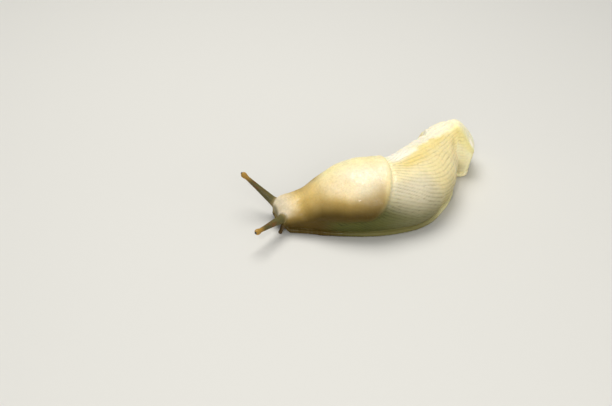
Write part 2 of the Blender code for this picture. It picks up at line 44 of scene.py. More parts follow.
# The body's line over the floor and its girth, the same plan as the solids follow.
plan = {
    "length": 95.7,
    "snout": (-34.39, -15.81),
    "headHeading": 18,
    "turns": [(0, 14, -8), (37, 53, 40), (77, 93, -60)],  # from, to, turn to the right
    # distance from the snout, half width on the left, half width on the right, height
    "girth": [
        (0, 6.4, 6.4, 9.6),
        (5, 8.2, 7.6, 10.8),
        (10, 10.0, 8.8, 11.8),
        (16, 12.2, 10.4, 15.0),
        (24, 14.8, 12.6, 19.4),
        (34, 17.0, 13.4, 22.1),
        (42, 18.0, 12.6, 22.3),
        (50, 19.6, 11.2, 22.0),
        (60, 18.4, 10.2, 21.1),
        (68, 15.9, 10.0, 20.4),
        (75, 11.9, 11.2, 20.0),
        (82, 8.0, 12.6, 20.6),
        (89, 6.4, 11.0, 23.6),
        (95.7, 6.6, 9.4, 21.4),
    ],
    "widestShare": 0.40,  # of the height, where a section is widest
    "tuck": 28,  # how far round below its widest a flank goes
    "flankBase": 2.5,  # height of the flank's lower edge
    "snoutRound": (5.0, 2.2),  # length of the rounding, and how square it is
    "tailRound": (6.5, 3.0),
    "tailTopRound": (9.8, 1.35),
    "tailLean": {"from": 84, "up": 12, "far": 1.8},  # how much shorter the tail is at the floor
    "keelHeight": 0.9,
    "keelWidth": 13,
    "keelStarts": (48, 60),
    "keelEnds": (86, 92),
    # distance from the snout, angle of the keel: it tips to the left over the tail
    "keelRun": [(0, 90), (50, 90), (60, 87), (74, 86), (80, 78), (86, 66), (95.7, 60)],
}
tuck = math.radians(plan["tuck"])


def eased(value, start, end):
    # 0 below start and 1 above end, rising smoothly between
    share = np.clip((value - start) / (end - start), 0, 1)
    return share * share * (3 - 2 * share)


def bell(value, middle, width):
    return np.exp(-(((value - middle) / width) ** 2))


def lengths(vectors):
    return np.linalg.norm(vectors, axis=-1)


def heading(along):
    turned = math.radians(plan["headHeading"])
    for start, end, turn in plan["turns"]:
        turned = turned + math.radians(turn) * eased(along, start, end)
    return turned


def runningSum(rate, places):
    middles = (rate[1:] + rate[:-1]) / 2
    return np.concatenate([[0], np.cumsum(middles * np.diff(places))])


lineAlong = np.linspace(0, plan["length"], 800)
lineX = plan["snout"][0] + runningSum(np.cos(heading(lineAlong)), lineAlong)
lineY = plan["snout"][1] + runningSum(np.sin(heading(lineAlong)), lineAlong)
print("body line ready")


def place(along, across, up):
    # across is to the slug's left
    lean = plan["tailLean"]
    short = lean["far"] * (1 - eased(up, 0, lean["up"]))
    along = along - short * eased(along, lean["from"], plan["length"])
    turn = heading(along)
    x = np.interp(along, lineAlong, lineX) + across * np.sin(turn)
    y = np.interp(along, lineAlong, lineY) - across * np.cos(turn)
    return np.stack(np.broadcast_arrays(x, y, up), axis=-1)


def between(table, along, column=1):
    # a monotone cubic through the rows of a table
    x = np.array([row[0] for row in table], float)
    y = np.array([row[column] for row in table], float)
    slope = np.diff(y) / np.diff(x)
    before, after = slope[:-1], slope[1:]
    same = before * after > 0
    middle = np.where(same, 2 * before * after / np.where(same, before + after, 1), 0)
    tangent = np.concatenate([slope[:1], middle, slope[-1:]])
    i = np.clip(np.searchsorted(x, along) - 1, 0, len(x) - 2)
    span = x[i + 1] - x[i]
    t = (along - x[i]) / span
    ends = y[i] * (1 + 2 * t) * (1 - t) ** 2 + y[i + 1] * t * t * (3 - 2 * t)
    return ends + span * (tangent[i] * t * (1 - t) ** 2 - tangent[i + 1] * t * t * (1 - t))


def girthAt(along, column):
    return between(plan["girth"], along, column)


def keelAngle(along):
    return np.radians(between(plan["keelRun"], along))


def keelShare(along):
    return eased(along, *plan["keelStarts"]) * (1 - eased(along, *plan["keelEnds"]))


def fullness(left, length, squareness):
    # how full a section is, this far from the end of a rounded form
    share = 1 - np.clip(left / length, 0, 1)
    return np.maximum(0, 1 - share**squareness) ** (1 / squareness)


def snoutShare(along):
    return fullness(along, *plan["snoutRound"])


def endShare(along):
    return snoutShare(along) * fullness(plan["length"] - along, *plan["tailRound"])


def topShare(along):
    return snoutShare(along) * fullness(plan["length"] - along, *plan["tailTopRound"])


def widestUp(along):
    return plan["flankBase"] + plan["widestShare"] * (girthAt(along, 3) - plan["flankBase"])


def flankAt(along, angle):
    # the angle runs from -tuck at the left foot edge, over the back, to pi + tuck
    half = np.where(np.cos(angle) >= 0, girthAt(along, 1), girthAt(along, 2))
    widest = widestUp(along)
    ridge = bell(angle, keelAngle(along), math.radians(plan["keelWidth"]))
    keel = plan["keelHeight"] * keelShare(along) * ridge
    over = ((girthAt(along, 3) - widest) * np.sin(angle) + keel) * topShare(along)
    under = (widest - plan["flankBase"]) * np.sin(angle) / math.sin(tuck) * snoutShare(along)
    up = widest + np.where(np.sin(angle) >= 0, over, under)
    return half * np.cos(angle) * endShare(along), up


# Fields over the flanks and the back, on a grid of distance along and angle round.
cells = {"rows": 380, "columns": 640}
cellAlong = np.linspace(0, plan["length"], cells["rows"])[:, None]
cellAngle = np.linspace(-tuck, np.pi + tuck, cells["columns"])[None, :]
cellPoints = place(cellAlong, *flankAt(cellAlong, cellAngle))
cellLength = np.maximum(0.1, lengths(np.gradient(cellPoints, axis=0)))
cellWidth = np.maximum(0.03, lengths(np.gradient(cellPoints, axis=1)))


def betweenCells(field, row, column):
    row = np.clip(row, 0, field.shape[0] - 1.001)
    column = np.clip(column, 0, field.shape[1] - 1.001)
    r, c = row.astype(int), column.astype(int)
    down, right = row - r, column - c
    upper = field[r, c] * (1 - right) + field[r, c + 1] * right
    lower = field[r + 1, c] * (1 - right) + field[r + 1, c + 1] * right
    return upper * (1 - down) + lower * down


def sampled(field, along, angle):
    # a field's value at a place on the skin
    row = along / plan["length"] * (field.shape[0] - 1)
    column = (angle + tuck) / (np.pi + 2 * tuck) * (field.shape[1] - 1)
    return betweenCells(field, row, column)


def clouds(seed, size):
    # soft random hills of this size in mm, with a spread of 1
    shape = (cells["rows"], cells["columns"])
    noise = np.fft.fft2(np.random.default_rng(seed).standard_normal(shape))
    down = np.fft.fftfreq(shape[0], np.median(cellLength))[:, None]
    right = np.fft.fftfreq(shape[1], np.median(cellWidth))[None, :]
    field = np.fft.ifft2(noise * np.exp(-(down**2 + right**2) * size**2)).real
    return field / field.std()


# How noise is combed into furrows.
comb = {
    "strokes": (-1.1, -0.55, 0, 0.55, 1.1),  # mm along a furrow
    "teeth": 9,  # across it, from the furrow before to the one behind
    "fade": 1.4,
    "press": 1.5,
    "faint": (0.12, 0.4),  # strength over which a furrow shows
}


def combed(seed, slope, spacing, rounds):
    # noise combed along a slope until it falls into furrows, this far apart in mm
    field = np.random.default_rng(seed).standard_normal((cells["rows"], cells["columns"]))
    rows, columns = np.indices(field.shape)
    alongWay = np.cos(slope) / cellLength, np.sin(slope) / cellWidth
    acrossWay = -np.sin(slope) / cellLength * spacing, np.cos(slope) / cellWidth * spacing

    def moved(way, far):
        return betweenCells(field, rows + way[0] * far, columns + way[1] * far)

    teeth = np.linspace(-1, 1, comb["teeth"])
    wave = np.exp(-(teeth**2) * comb["fade"]) * np.cos(2 * np.pi * teeth)
    wave = wave - wave.mean()
    for _ in range(rounds):
        field = sum(moved(alongWay, far) for far in comb["strokes"]) / len(comb["strokes"])
        field = sum(w * moved(acrossWay, far) for w, far in zip(wave, teeth))
        field = np.tanh(comb["press"] * field / field.std())
    # the wave a quarter of its length to either side tells how strong it is here
    size = np.hypot(field, (moved(acrossWay, 0.25) - moved(acrossWay, -0.25)) / 2)
    return field / np.maximum(size, 1e-6), size


def grooves(furrowField, along, angle, narrow):
    # 1 in the bottom of a furrow and 0 on the ridges between
    crest, size = (sampled(part, along, angle) for part in furrowField)
    return ((1 + np.clip(crest, -1, 1)) / 2) ** narrow * eased(size, *comb["faint"])


# The foot: a fringe round it, the gutter above the fringe and the sole.
foot = {
    "starts": (1.6, 4.6),
    "chin": 0.6,  # how far the foot hangs below the flank before it starts
    "endRound": 1.6,
    # the fringe's outline from the gutter to the sole: distance out, height
    "fringe": [
        (-0.05, 2.45),
        (-0.5, 2.3),
        (-0.25, 2.12),
        (0.45, 1.95),
        (0.85, 1.3),
        (0.8, 0.6),
        (0.3, 0.12),
        (-0.6, 0),
    ],
    "fringeColumns": 14,
    "soleColumns": 20,
    "pleatDepth": 0.07,
    "pleatSpacing": 1.15,
    "pleatWander": 2.2,
    "pleatNarrow": 3,
    "pleatEnds": ((0.1, 0.3), (0.8, 0.95)),  # shares of the way down the fringe
    # the foot's edge, up round the tail's end
    "climbs": {"from": 94.7, "drift": 0.6, "angles": (10, 22), "width": 0.3, "height": 0.22},
}


def softCurve(points, count):
    # a cubic B-spline along the given points, with its ends on the first and last
    points = np.array(points, float)
    points = np.vstack([2 * points[0] - points[1], points, 2 * points[-1] - points[-2]])
    t = np.linspace(0, len(points) - 3, count)
    i = np.minimum(t.astype(int), len(points) - 4)
    t = (t - i)[:, None]
    weights = ((1 - t) ** 3, 3 * t**3 - 6 * t**2 + 4, -3 * t**3 + 3 * t**2 + 3 * t + 1, t**3)
    return sum(w * points[i + k] for k, w in enumerate(weights)) / 6


# How finely the skin is divided.
grid = {
    "rowSpacing": ((0, 0.22), (10, 0.26), (18, 0.42), (72, 0.42), (78, 0.3), (95.7, 0.3)),
    "endRadius": 8,
    "flankColumns": 400,
}


def rowsAlong():
    ends = 1 - np.cos(np.linspace(0, np.pi / 2, 400))
    snout = plan["snoutRound"][0] * ends
    tail = plan["length"] - plan["tailRound"][0] * ends[::-1]
    dense = np.unique(np.concatenate([snout, np.linspace(snout[-1], tail[0], 800), tail]))
    step = np.hypot(np.diff(dense), grid["endRadius"] * np.diff(endShare(dense)))
    wanted = np.interp(dense[1:], *np.transpose(grid["rowSpacing"]))
    count = np.concatenate([[0], np.cumsum(step / wanted)])
    return np.interp(np.linspace(0, count[-1], round(count[-1]) + 1), count, dense)


def skinGrid():
    # rows along the body and columns round it: flanks and back, right fringe, sole, left fringe
    along = rowsAlong()[:, None]
    angle = np.linspace(-tuck, np.pi + tuck, grid["flankColumns"])[None, :]
    across, up = flankAt(along, angle)
    left, right, edgeUp = across[:, :1], across[:, -1:], up[:, :1]
    footShare = eased(along, *foot["starts"])
    fringeShare = footShare * fullness(plan["length"] - along, foot["endRound"], 2)
    soleUp = (1 - footShare) * (edgeUp - foot["chin"] * endShare(along))
    out, rise = softCurve(foot["fringe"], foot["fringeColumns"] + 1)[1:].T
    out = np.where(out > 0, out * fringeShare, out * fringeShare * endShare(along))
    rise = soleUp + rise / plan["flankBase"] * (edgeUp - soleUp)
    share = np.linspace(0, 1, foot["soleColumns"] + 2)[None, 1:-1]
    soleAcross = (right - out[:, -1:]) * (1 - share) + (left + out[:, -1:]) * share
    allAcross = np.hstack([across, right - out, soleAcross, left + out[:, ::-1]])
    allUp = np.hstack([up, rise, soleUp + 0 * share, rise[:, ::-1]])
    flank, fringe, sole = grid["flankColumns"], foot["fringeColumns"], foot["soleColumns"]
    down = np.linspace(0, 1, fringe + 1)[1:]
    rightEdge = np.full(fringe, np.pi + tuck)
    soleAngle = np.pi + tuck - share[0] * (np.pi + 2 * tuck)
    points = place(along, allAcross, allUp)
    columns = {
        "angle": np.concatenate([angle[0], rightEdge, soleAngle, np.pi - rightEdge]),
        "fringe": np.concatenate([np.zeros(flank), down, np.ones(sole), down[::-1]]),
        "sole": np.repeat([0.0, 0.0, 1.0, 0.0], [flank, fringe, sole, fringe]),
    }
    values = {"along": along, **columns}
    return points, {name: np.broadcast_to(value, points.shape[:2]) for name, value in values.items()}


# Where the body and the four feelers lie in the flat map for baking: corner, then width and height.
bakeChart = {
    "body": ((0.004, 0.004), (0.992, 0.866)),
    "feelers": [((0.004 + 0.25 * k, 0.88), (0.242, 0.116)) for k in range(4)],
}


def weld(points, values):
    # rows close at both ends of the body, so points that fall together become one
    rows, columns = points.shape[:2]
    across = lengths(np.roll(points, -1, axis=1) - points).mean(axis=0)
    down = lengths(np.diff(points, axis=0)).mean(axis=1)
    right, below = (np.concatenate([[0], np.cumsum(step)]) / step.sum() for step in (across, down))
    corners = ((0, 0), (1, 0), (1, 1), (0, 1))
    chart = [np.meshgrid(right[c : c + columns], below[r : r + rows - 1]) for r, c in corners]
    chart = np.moveaxis(np.array(chart), (0, 1), (2, 3)).reshape(-1, 4, 2)
    chart = bakeChart["body"][0] + chart * bakeChart["body"][1]
    cell = np.arange(rows * columns).reshape(rows, columns)
    turned = np.roll(cell, -1, axis=1)
    faces = np.stack([cell[:-1], cell[1:], turned[1:], turned[:-1]], axis=-1).reshape(-1, 4)
    rounded = np.round(points.reshape(-1, 3), 4)
    first, same = np.unique(rounded, axis=0, return_index=True, return_inverse=True)[1:]
    welded = {name: value.reshape(-1)[first].astype(float) for name, value in values.items()}
    return points.reshape(-1, 3)[first], same.reshape(-1)[faces], welded, chart


def normalsOf(points, faces):
    a, b, c, d = (points[faces[:, k]] for k in range(4))
    flat = np.cross(c - a, d - b)
    total = np.zeros_like(points)
    for k in range(4):
        for axis in range(3):
            total[:, axis] += np.bincount(faces[:, k], flat[:, axis], len(points))
    return total / np.maximum(lengths(total), 1e-12)[:, None]


# The mantle lies over the back like a shield with rounded corners.
mantle = {
    "from": 12.5,
    "to": 44.5,
    "slant": 4.5,
    "reach": 97,
    "squareness": 4,
    "leastArm": 2,  # from the body's core to the skin
    "coreHeight": 0.7,
    "thick": 1.4,
    "frontThick": 0.12,
    "thickensOver": 20,
    "lowThick": 0.55,  # share left at the lower edge
    "lowAngles": (55, 92),  # from the top
    "lowEnds": (9, 2),  # before the rear edge
    "rim": 1.5,
    "softRim": 2.6,  # wider at the lower edge
    "gutter": 0.28,
    "gutterWidth": 0.45,
    # how far the colours blend at the edge: at the rear, and how much further low down and in front
    "hardEdge": 0.35,
    "softEdge": 2.2,
    "softAngles": (50, 85),
    "softEnds": (8, 1),
    "softFront": (14, 24),
    "outside": 0.7,  # share of the blend that lies outside the edge
    # a painted highlight along the mantle's rounded rim
    "paintedRimHighlight": (0.5, 0.7),  # how far in, and how wide
    "rimHighlightPaintedFrom": (28, 38),
}
breathingHole = {
    "along": 38,
    "angle": 168,
    "long": 1.7,
    "tall": 1.25,
    "deep": 1.9,
    "edge": (0.62, 1.05),
    "lip": 0.3,
    "lipAt": (1.35, 0.35),  # how far out, and how wide
}


def lowShare(along, angle, angles, ends):
    # 1 at the mantle's lower edge, 0 on top and at the rear
    low = eased(np.abs(angle - np.pi / 2), *np.radians(angles))
    return low * (1 - eased(along, mantle["to"] - ends[0], mantle["to"] - ends[1]))


def mantleInside(along, angle):
    # distance in from the mantle's edge, below 0 outside it
    half = (mantle["to"] - mantle["from"]) / 2
    behind = along - (mantle["from"] + half)
    half = np.where(behind > 0, half - mantle["slant"] * np.cos(angle), half)
    reach = math.radians(mantle["reach"])
    power = mantle["squareness"]
    lengthways = np.abs(behind / half)
    sideways = np.abs((angle - np.pi / 2) / reach)
    radius = np.maximum((lengthways**power + sideways**power) ** (1 / power), 0.05)
    across, up = flankAt(along, angle)
    arm = np.maximum(mantle["leastArm"], np.hypot(across, up - widestUp(along) * mantle["coreHeight"]))
    slope = np.hypot(
        (lengthways / radius) ** (power - 1) / half,
        (sideways / radius) ** (power - 1) / reach / arm,
    )
    return (1 - radius) / slope


def mantleLift(along, angle, inside):
    forward = eased(along, mantle["from"], mantle["from"] + mantle["thickensOver"])
    low = lowShare(along, angle, mantle["lowAngles"], mantle["lowEnds"])
    thick = mantle["frontThick"] + (mantle["thick"] - mantle["frontThick"]) * forward
    thick = thick * (1 - (1 - mantle["lowThick"]) * low)
    rimWidth = mantle["rim"] + (mantle["softRim"] - mantle["rim"]) * low
    rim = np.sqrt(1 - (1 - np.clip(inside / rimWidth, 0, 1)) ** 2)
    gutter = mantle["gutter"] * bell(inside, -mantle["gutterWidth"], mantle["gutterWidth"])
    return thick * rim - gutter * forward * (inside < 0)


def holeDepth(along, angle):
    # the breathing hole, as a share of its depth, and the soft lip round it
    hole = breathingHole
    arm = girthAt(hole["along"], 2)
    lengthways = (along - hole["along"]) / hole["long"]
    upwards = (angle - math.radians(hole["angle"])) * arm / hole["tall"]
    away = np.hypot(lengthways, upwards)
    return 1 - eased(away, *hole["edge"]), bell(away, *hole["lipAt"])


# Folds where the skin crowds on the inside of the first turn.
folds = {
    "from": 52,
    "to": 76,
    "angles": (76, 122),
    "spacing": 3.6,
    "depth": 0.95,
    "stray": 0.9,
    "unevenness": 0.35,
    "sharpness": 1.6,
}
# The crease inside the second turn, and the saddle that it leaves in the keel.
crease = {"along": 83, "width": 1.5, "depth": 1.1, "angles": (14, 58)}
saddle = {"along": 84.2, "width": 1.7, "depth": 0.75, "angle": 96, "spread": 26}
# Long rolls that the second turn pushes up on the far side of the tail.
rolls = {
    "starts": (68, 76),
    "ends": (88, 93),
    "angles": (92, 160),
    "edges": (0.12, 0.3),  # radians
    "spacing": 17,
    "stray": 0.12,
    "height": 0.6,
    "roundness": 0.6,
    "level": 0.55,
}
# The skin on the far side of the tail rises in steps.
steps = {
    "starts": (66, 72),
    # distance along X, depth
    "depths": [
        (21.1, 0),
        (24.1, 0.8),
        (25.7, 1.8),
        (27, 0),
        (28.3, 0.6),
        (28.9, 0),
        (34.1, 0),
        (37.6, 0.9),
        (39.4, 0),
    ],
    "angles": (108, 128, 154, 182),
    "lean": 2.2 / 30,  # mm towards the head for each degree
    "leansFrom": 138,
}


def foldDepth(along, angle, strayed):
    inside = eased(angle, *np.radians(folds["angles"]))
    inside = inside * eased(along, folds["from"], folds["from"] + folds["spacing"] * 1.5)
    inside = inside * (1 - eased(along, folds["to"] - folds["spacing"], folds["to"]))
    turn = math.pi * (along - folds["from"] + folds["stray"] * strayed) / folds["spacing"]
    wave = (1 - np.abs(np.sin(turn))) ** folds["sharpness"]
    return folds["depth"] * (1 + folds["unevenness"] * strayed) * inside * wave


def creaseDepth(along, angle):
    inside = 1 - eased(angle, *np.radians(crease["angles"]))
    return crease["depth"] * (inside * bell(along, crease["along"], crease["width"]))


def saddleDepth(along, angle):
    lengthways = bell(along, saddle["along"], saddle["width"])
    sideways = bell(angle, math.radians(saddle["angle"]), math.radians(saddle["spread"]))
    return saddle["depth"] * (lengthways * sideways)


def rollHeight(along, angle, strayed):
    first, last = np.radians(rolls["angles"])
    rise, fall = rolls["edges"]
    turn = math.pi * ((angle - first) / math.radians(rolls["spacing"]) + rolls["stray"] * strayed)
    roll = np.abs(np.sin(turn)) ** rolls["roundness"] - rolls["level"]
    roll = roll * eased(angle, first, first + rise) * (1 - eased(angle, last - fall, last))
    roll = roll * eased(along, *rolls["starts"]) * (1 - eased(along, *rolls["ends"]))
    return rolls["height"] * roll


def stepDepth(along, angle):
    start, full, last, out = np.radians(steps["angles"])
    lean = steps["lean"] * np.maximum(0, np.degrees(angle) - steps["leansFrom"])
    stepAt = place(along, *flankAt(along, angle))[..., 0] + lean
    depth = np.interp(stepAt, *np.transpose(steps["depths"])) * eased(along, *steps["starts"])
    return depth * eased(angle, start, full) * (1 - eased(angle, last, out))


def bendLift(along, angle):
    # what the two turns do to the skin
    strayed = sampled(clouds(11, size=9), along, angle)
    lift = rollHeight(along, angle, strayed) - foldDepth(along, angle, strayed)
    return lift - creaseDepth(along, angle) - stepDepth(along, angle) - saddleDepth(along, angle)


# Furrows run down and back from the mantle and level out towards the tail. Finer ones cross them.
furrows = {
    "lean": 31,
    "levels": (50, 66),
    "besideKeel": (0.15, 0.55),  # how much less they lean there, and how far from it
    "overKeel": 0.2,
    "keepHeight": (82, 87),
    "waver": 0.08,
    "spacing": [(0, 1.15), (20, 1.3), (42, 1.35), (54, 1.7), (70, 1.6), (82, 1.25), (95.7, 1.1)],
    "depth": 0.16,
    "narrow": 8,
    "crossing": 62,
    "crossWaver": 0.3,
    "crossSpacing": 2.3,
    "crossDepth": 0.035,
    "crossNarrow": 5,
    "wrinkleTurn": 0.5,
    "wrinkleSpacing": 0.95,
    "wrinkleDepth": 0.09,
    "wrinkleNarrow": 4,
    "crossingWrinkles": 0.7,  # strength of the second set
    "wrinkleEnds": (12, 18),
    "starts": (13, 20),
    "underMantle": (-0.75, -0.2),  # distance in from the mantle's edge
    "overKeelLess": (0.8, 0.16),  # how much shallower there, and how wide
    "shallowEnd": 6,  # length of the tail where they get shallower, and by how much
    "endLess": 0.5,
    "roll": 0.12,
}


def furrowSlope():
    # 0 along the body's line, below 0 towards the left; over the tail's end they keep their height
    keel = keelAngle(cellAlong)
    side = np.tanh((cellAngle - keel) / furrows["overKeel"])
    less, reach = furrows["besideKeel"]
    lean = math.radians(furrows["lean"]) * (1 - eased(cellAlong, *furrows["levels"]))
    lean = lean * (1 - less * bell(cellAngle, keel, reach))
    riseAlong = np.gradient(cellPoints[..., 2], axis=0) / cellLength
    riseRound = np.gradient(cellPoints[..., 2], axis=1) / cellWidth
    level = np.arctan2(-riseAlong * np.sign(riseRound), np.abs(riseRound))
    level = np.clip(level, -1, 1) * eased(cellAlong, *furrows["keepHeight"])
    return side * lean + level + furrows["waver"] * clouds(21, size=4)


def combFurrows():
    slope = furrowSlope()
    spacing = between(furrows["spacing"], cellAlong)
    spacing = spacing * (0.8 + 0.2 * eased(np.sin(cellAngle), -0.3, 0.5))  # closer low down
    crossing = slope + math.radians(furrows["crossing"])
    long = combed(3, slope, spacing, rounds=20)
    wavers = furrows["crossWaver"] * clouds(23, size=5)
    return (
        long,
        combed(4, crossing + wavers, furrows["crossSpacing"], rounds=3),
        combed(6, crossing + furrows["wrinkleTurn"], furrows["wrinkleSpacing"], rounds=4),
    )


longGrooves, crossGrooves, wrinkles = combFurrows()
print("furrows combed")


def pleats(along, angle, fringe):
    top, bottom = foot["pleatEnds"]
    wander = foot["pleatWander"] * sampled(clouds(5, size=3), along, angle)
    pleat = (1 + np.cos(2 * np.pi * along / foot["pleatSpacing"] + wander)) / 2
    return pleat ** foot["pleatNarrow"] * eased(fringe, *top) * (1 - eased(fringe, *bottom))


def footClimb(along, angle):
    climb = foot["climbs"]
    fades, top = np.radians(climb["angles"])
    path = climb["from"] + climb["drift"] * eased(angle, -tuck, top)
    return bell(along, path, climb["width"]) * (1 - eased(angle, fades, top))


def fineSkin(values, inside):
    # furrows, wrinkles and pleats, and the skin's soft unevenness
    along, angle, fringe = values["along"], values["angle"], values["fringe"]
    flank = (1 - eased(inside, *furrows["underMantle"])) * (1 - eased(fringe, 0, 0.05))
    less, wide = furrows["overKeelLess"]
    ending = eased(along, plan["length"] - furrows["shallowEnd"], plan["length"])
    body = flank * eased(along, *furrows["starts"])
    body = body * (1 - less * keelShare(along) * bell(values["aside"], 0, wide))
    body = body * (1 - furrows["endLess"] * ending)
    long = grooves(longGrooves, along, angle, furrows["narrow"])
    cross = grooves(crossGrooves, along, angle, furrows["crossNarrow"])
    fine = grooves(wrinkles, along, angle, furrows["wrinkleNarrow"])
    coarse = grooves(crossGrooves, along, angle, furrows["wrinkleNarrow"])
    values["furrow"] = body * long
    values["cross"] = body * cross * (1 - long)
    values["pleat"] = pleats(along, angle, fringe)
    head = (1 - eased(along, *furrows["wrinkleEnds"])) * flank
    values["wrinkle"] = head * np.maximum(fine, furrows["crossingWrinkles"] * coarse)
    values["climb"] = footClimb(along, angle) * (fringe == 0)
    lift = -furrows["depth"] * values["furrow"] - furrows["crossDepth"] * values["cross"]
    lift = lift - foot["pleatDepth"] * values["pleat"] - furrows["wrinkleDepth"] * values["wrinkle"]
    even = (1 - values["sole"]) * (1 - 0.7 * fringe) * endShare(along)
    lift = lift + furrows["roll"] * sampled(clouds(7, size=7), along, angle) * even
    return lift + foot["climbs"]["height"] * values["climb"]


# The head: two lips with the mouth between them, and the collars of the four feelers.
lips = {"along": 0.7, "across": 1.35, "up": 3.9, "size": 1.35, "height": 0.5}
mouth = {"up": 3.7, "tall": 1.5, "wide": 0.28, "deep": 0.55, "back": 2.6}
# The slime pit in the end of the tail.
pit = {"up": 13.6, "across": 1.7, "tall": 2.4, "deep": 1.0, "edge": (0.35, 1.05)}

feelers = {
    "optic": {
        "rootAt": 1.8,
        "rootAngle": 14,
        "way": {"right": (-12.9, 5.5, 10.2), "left": (-9.8, -13.4, 2.9)},
        "length": {"right": 14.6, "left": 14.1},
        "rootRadius": 1.8,
        "tipRadius": 0.82,
        "bulb": (2.75, 1.15),  # length and radius
        "collar": (0.9, 3.0),  # height and radius
        "rings": 76,
    },
    "lower": {
        "rootAt": 2.2,
        "rootAngle": -16,
        "way": {"right": (-0.5, 1.5, -1.0), "left": (-1.8, -3.4, -2.2)},
        "length": {"right": 1.5, "left": 3.3},
        "rootRadius": 0.95,
        "tipRadius": 0.68,
        "bulb": (1.1, 0.78),
        "collar": (0.35, 1.8),
        "rings": 26,
    },
}
# How a feeler grows out of the skin.
sprout = {
    "cut": 1.04,  # width of the hole for it, as a share of its root
    "cutHeight": 2.6,
    "cutReach": 3.2,
    "settles": 2.2,  # height at which its rings are round
    "lumps": 0.018,
    "collarAt": 0.4,  # above the root
    "collarSlope": 1.5,
    "stain": (1.7, 2.7),  # how far the feeler's colour reaches round its root
    "taper": 1.25,
    "swells": (-0.15, 0.55),  # where the stalk widens to the bulb, in bulb lengths
    "rounds": 0.5,
    "capRings": 0.85,  # share of the rings below the round cap of the tip
    "capAt": 0.93,
    "smoothFrom": 1.3,  # root radii within which the skin is smoothed most
    "smoothRounds": 8,
    # what the whole feeler takes from the skin at its root
    "keeps": ("along", "angle", "aside", "collar", "low"),
}


def feelerRoot(kind, side):
    spec = feelers[kind]
    angle = math.radians(spec["rootAngle"])
    angle = angle if side == "left" else math.pi - angle
    across, up = flankAt(spec["rootAt"], angle)
    way = np.array(spec["way"][side], float)
    return place(spec["rootAt"], across, up), way / lengths(way)


def headLift(points):
    lift = np.zeros(len(points))
    for side in (-1, 1):
        middle = place(lips["along"], side * lips["across"], lips["up"])
        away = lengths(points - middle) / lips["size"]
        lift += lips["height"] * np.exp(-(away**3))
    for kind in feelers:
        for side in ("left", "right"):
            root, way = feelerRoot(kind, side)
            height, radius = feelers[kind]["collar"]
            away = lengths(points - root - way * sprout["collarAt"]) / radius
            lift += height * np.exp(-(away**2) * sprout["collarSlope"])
    return lift


def bodyAxes(along):
    # which way the tail and the slug's left lie, at a place on the body's line
    turn = heading(along)
    tailwards = np.array([math.cos(turn), math.sin(turn), 0])
    leftwards = np.array([math.sin(turn), -math.cos(turn), 0])
    return tailwards, leftwards


def pushIn(points, along):
    # the slit of the mouth, and the slime pit in the end of the tail
    tailwards, leftwards = bodyAxes(0)
    local = points - place(0, 0, mouth["up"])
    slit = bell(local @ leftwards, 0, mouth["wide"])
    slit = slit * np.exp(-((local[:, 2] / mouth["tall"]) ** 4)) * (local @ tailwards < mouth["back"])
    points = points + mouth["deep"] * slit[:, None] * tailwards
    tailwards, leftwards = bodyAxes(plan["length"])
    local = points - place(plan["length"], 0, pit["up"])
    away = np.hypot((local @ leftwards) / pit["across"], local[:, 2] / pit["tall"])
    dent = (1 - eased(away, *pit["edge"])) * (along > plan["length"] - plan["tailRound"][0])
    return points - pit["deep"] * dent[:, None] * tailwards, slit, dent


def feelerRadius(spec, length, height):
    # radius of a feeler at a height above its root
    share = np.clip(height / length, 0, 1)
    taper = (1 - share) ** sprout["taper"]
    stalk = spec["tipRadius"] + (spec["rootRadius"] - spec["tipRadius"]) * taper
    bulbLength, bulbRadius = spec["bulb"]
    up = np.clip((height - length) / bulbLength, -1, 1)
    radius = stalk + (bulbRadius - spec["tipRadius"]) * eased(up, *sprout["swells"])
    past = np.clip((up - sprout["rounds"]) / (1 - sprout["rounds"]), 0, 1)
    return radius * np.sqrt(1 - past**2)


def boundaryLoop(faces):
    # the ordered rim of a patch of faces, given as quads
    edges = {}
    for face in faces:
        ring = list(dict.fromkeys(face))
        edges.update(dict.fromkeys(zip(ring, ring[1:] + ring[:1])))
    rim = {a: b for a, b in edges if (b, a) not in edges}
    start = next(iter(rim))
    loop = [start]
    while rim[loop[-1]] != start:
        loop.append(rim[loop[-1]])
    return loop


def ringHeights(spec, total):
    # the tip closes in a round cap, so its rings crowd together there
    share = np.linspace(0, 1, spec["rings"] + 1)[1:]
    below, capAt = sprout["capRings"], sprout["capAt"]
    capped = share >= below
    heights = total * np.where(capped, 0, share / below * capAt)
    turned = np.sin((share[capped] - below) / (1 - below) * np.pi / 2)
    heights[capped] = total * (capAt + (1 - capAt) * turned)
    return heights[:-1]


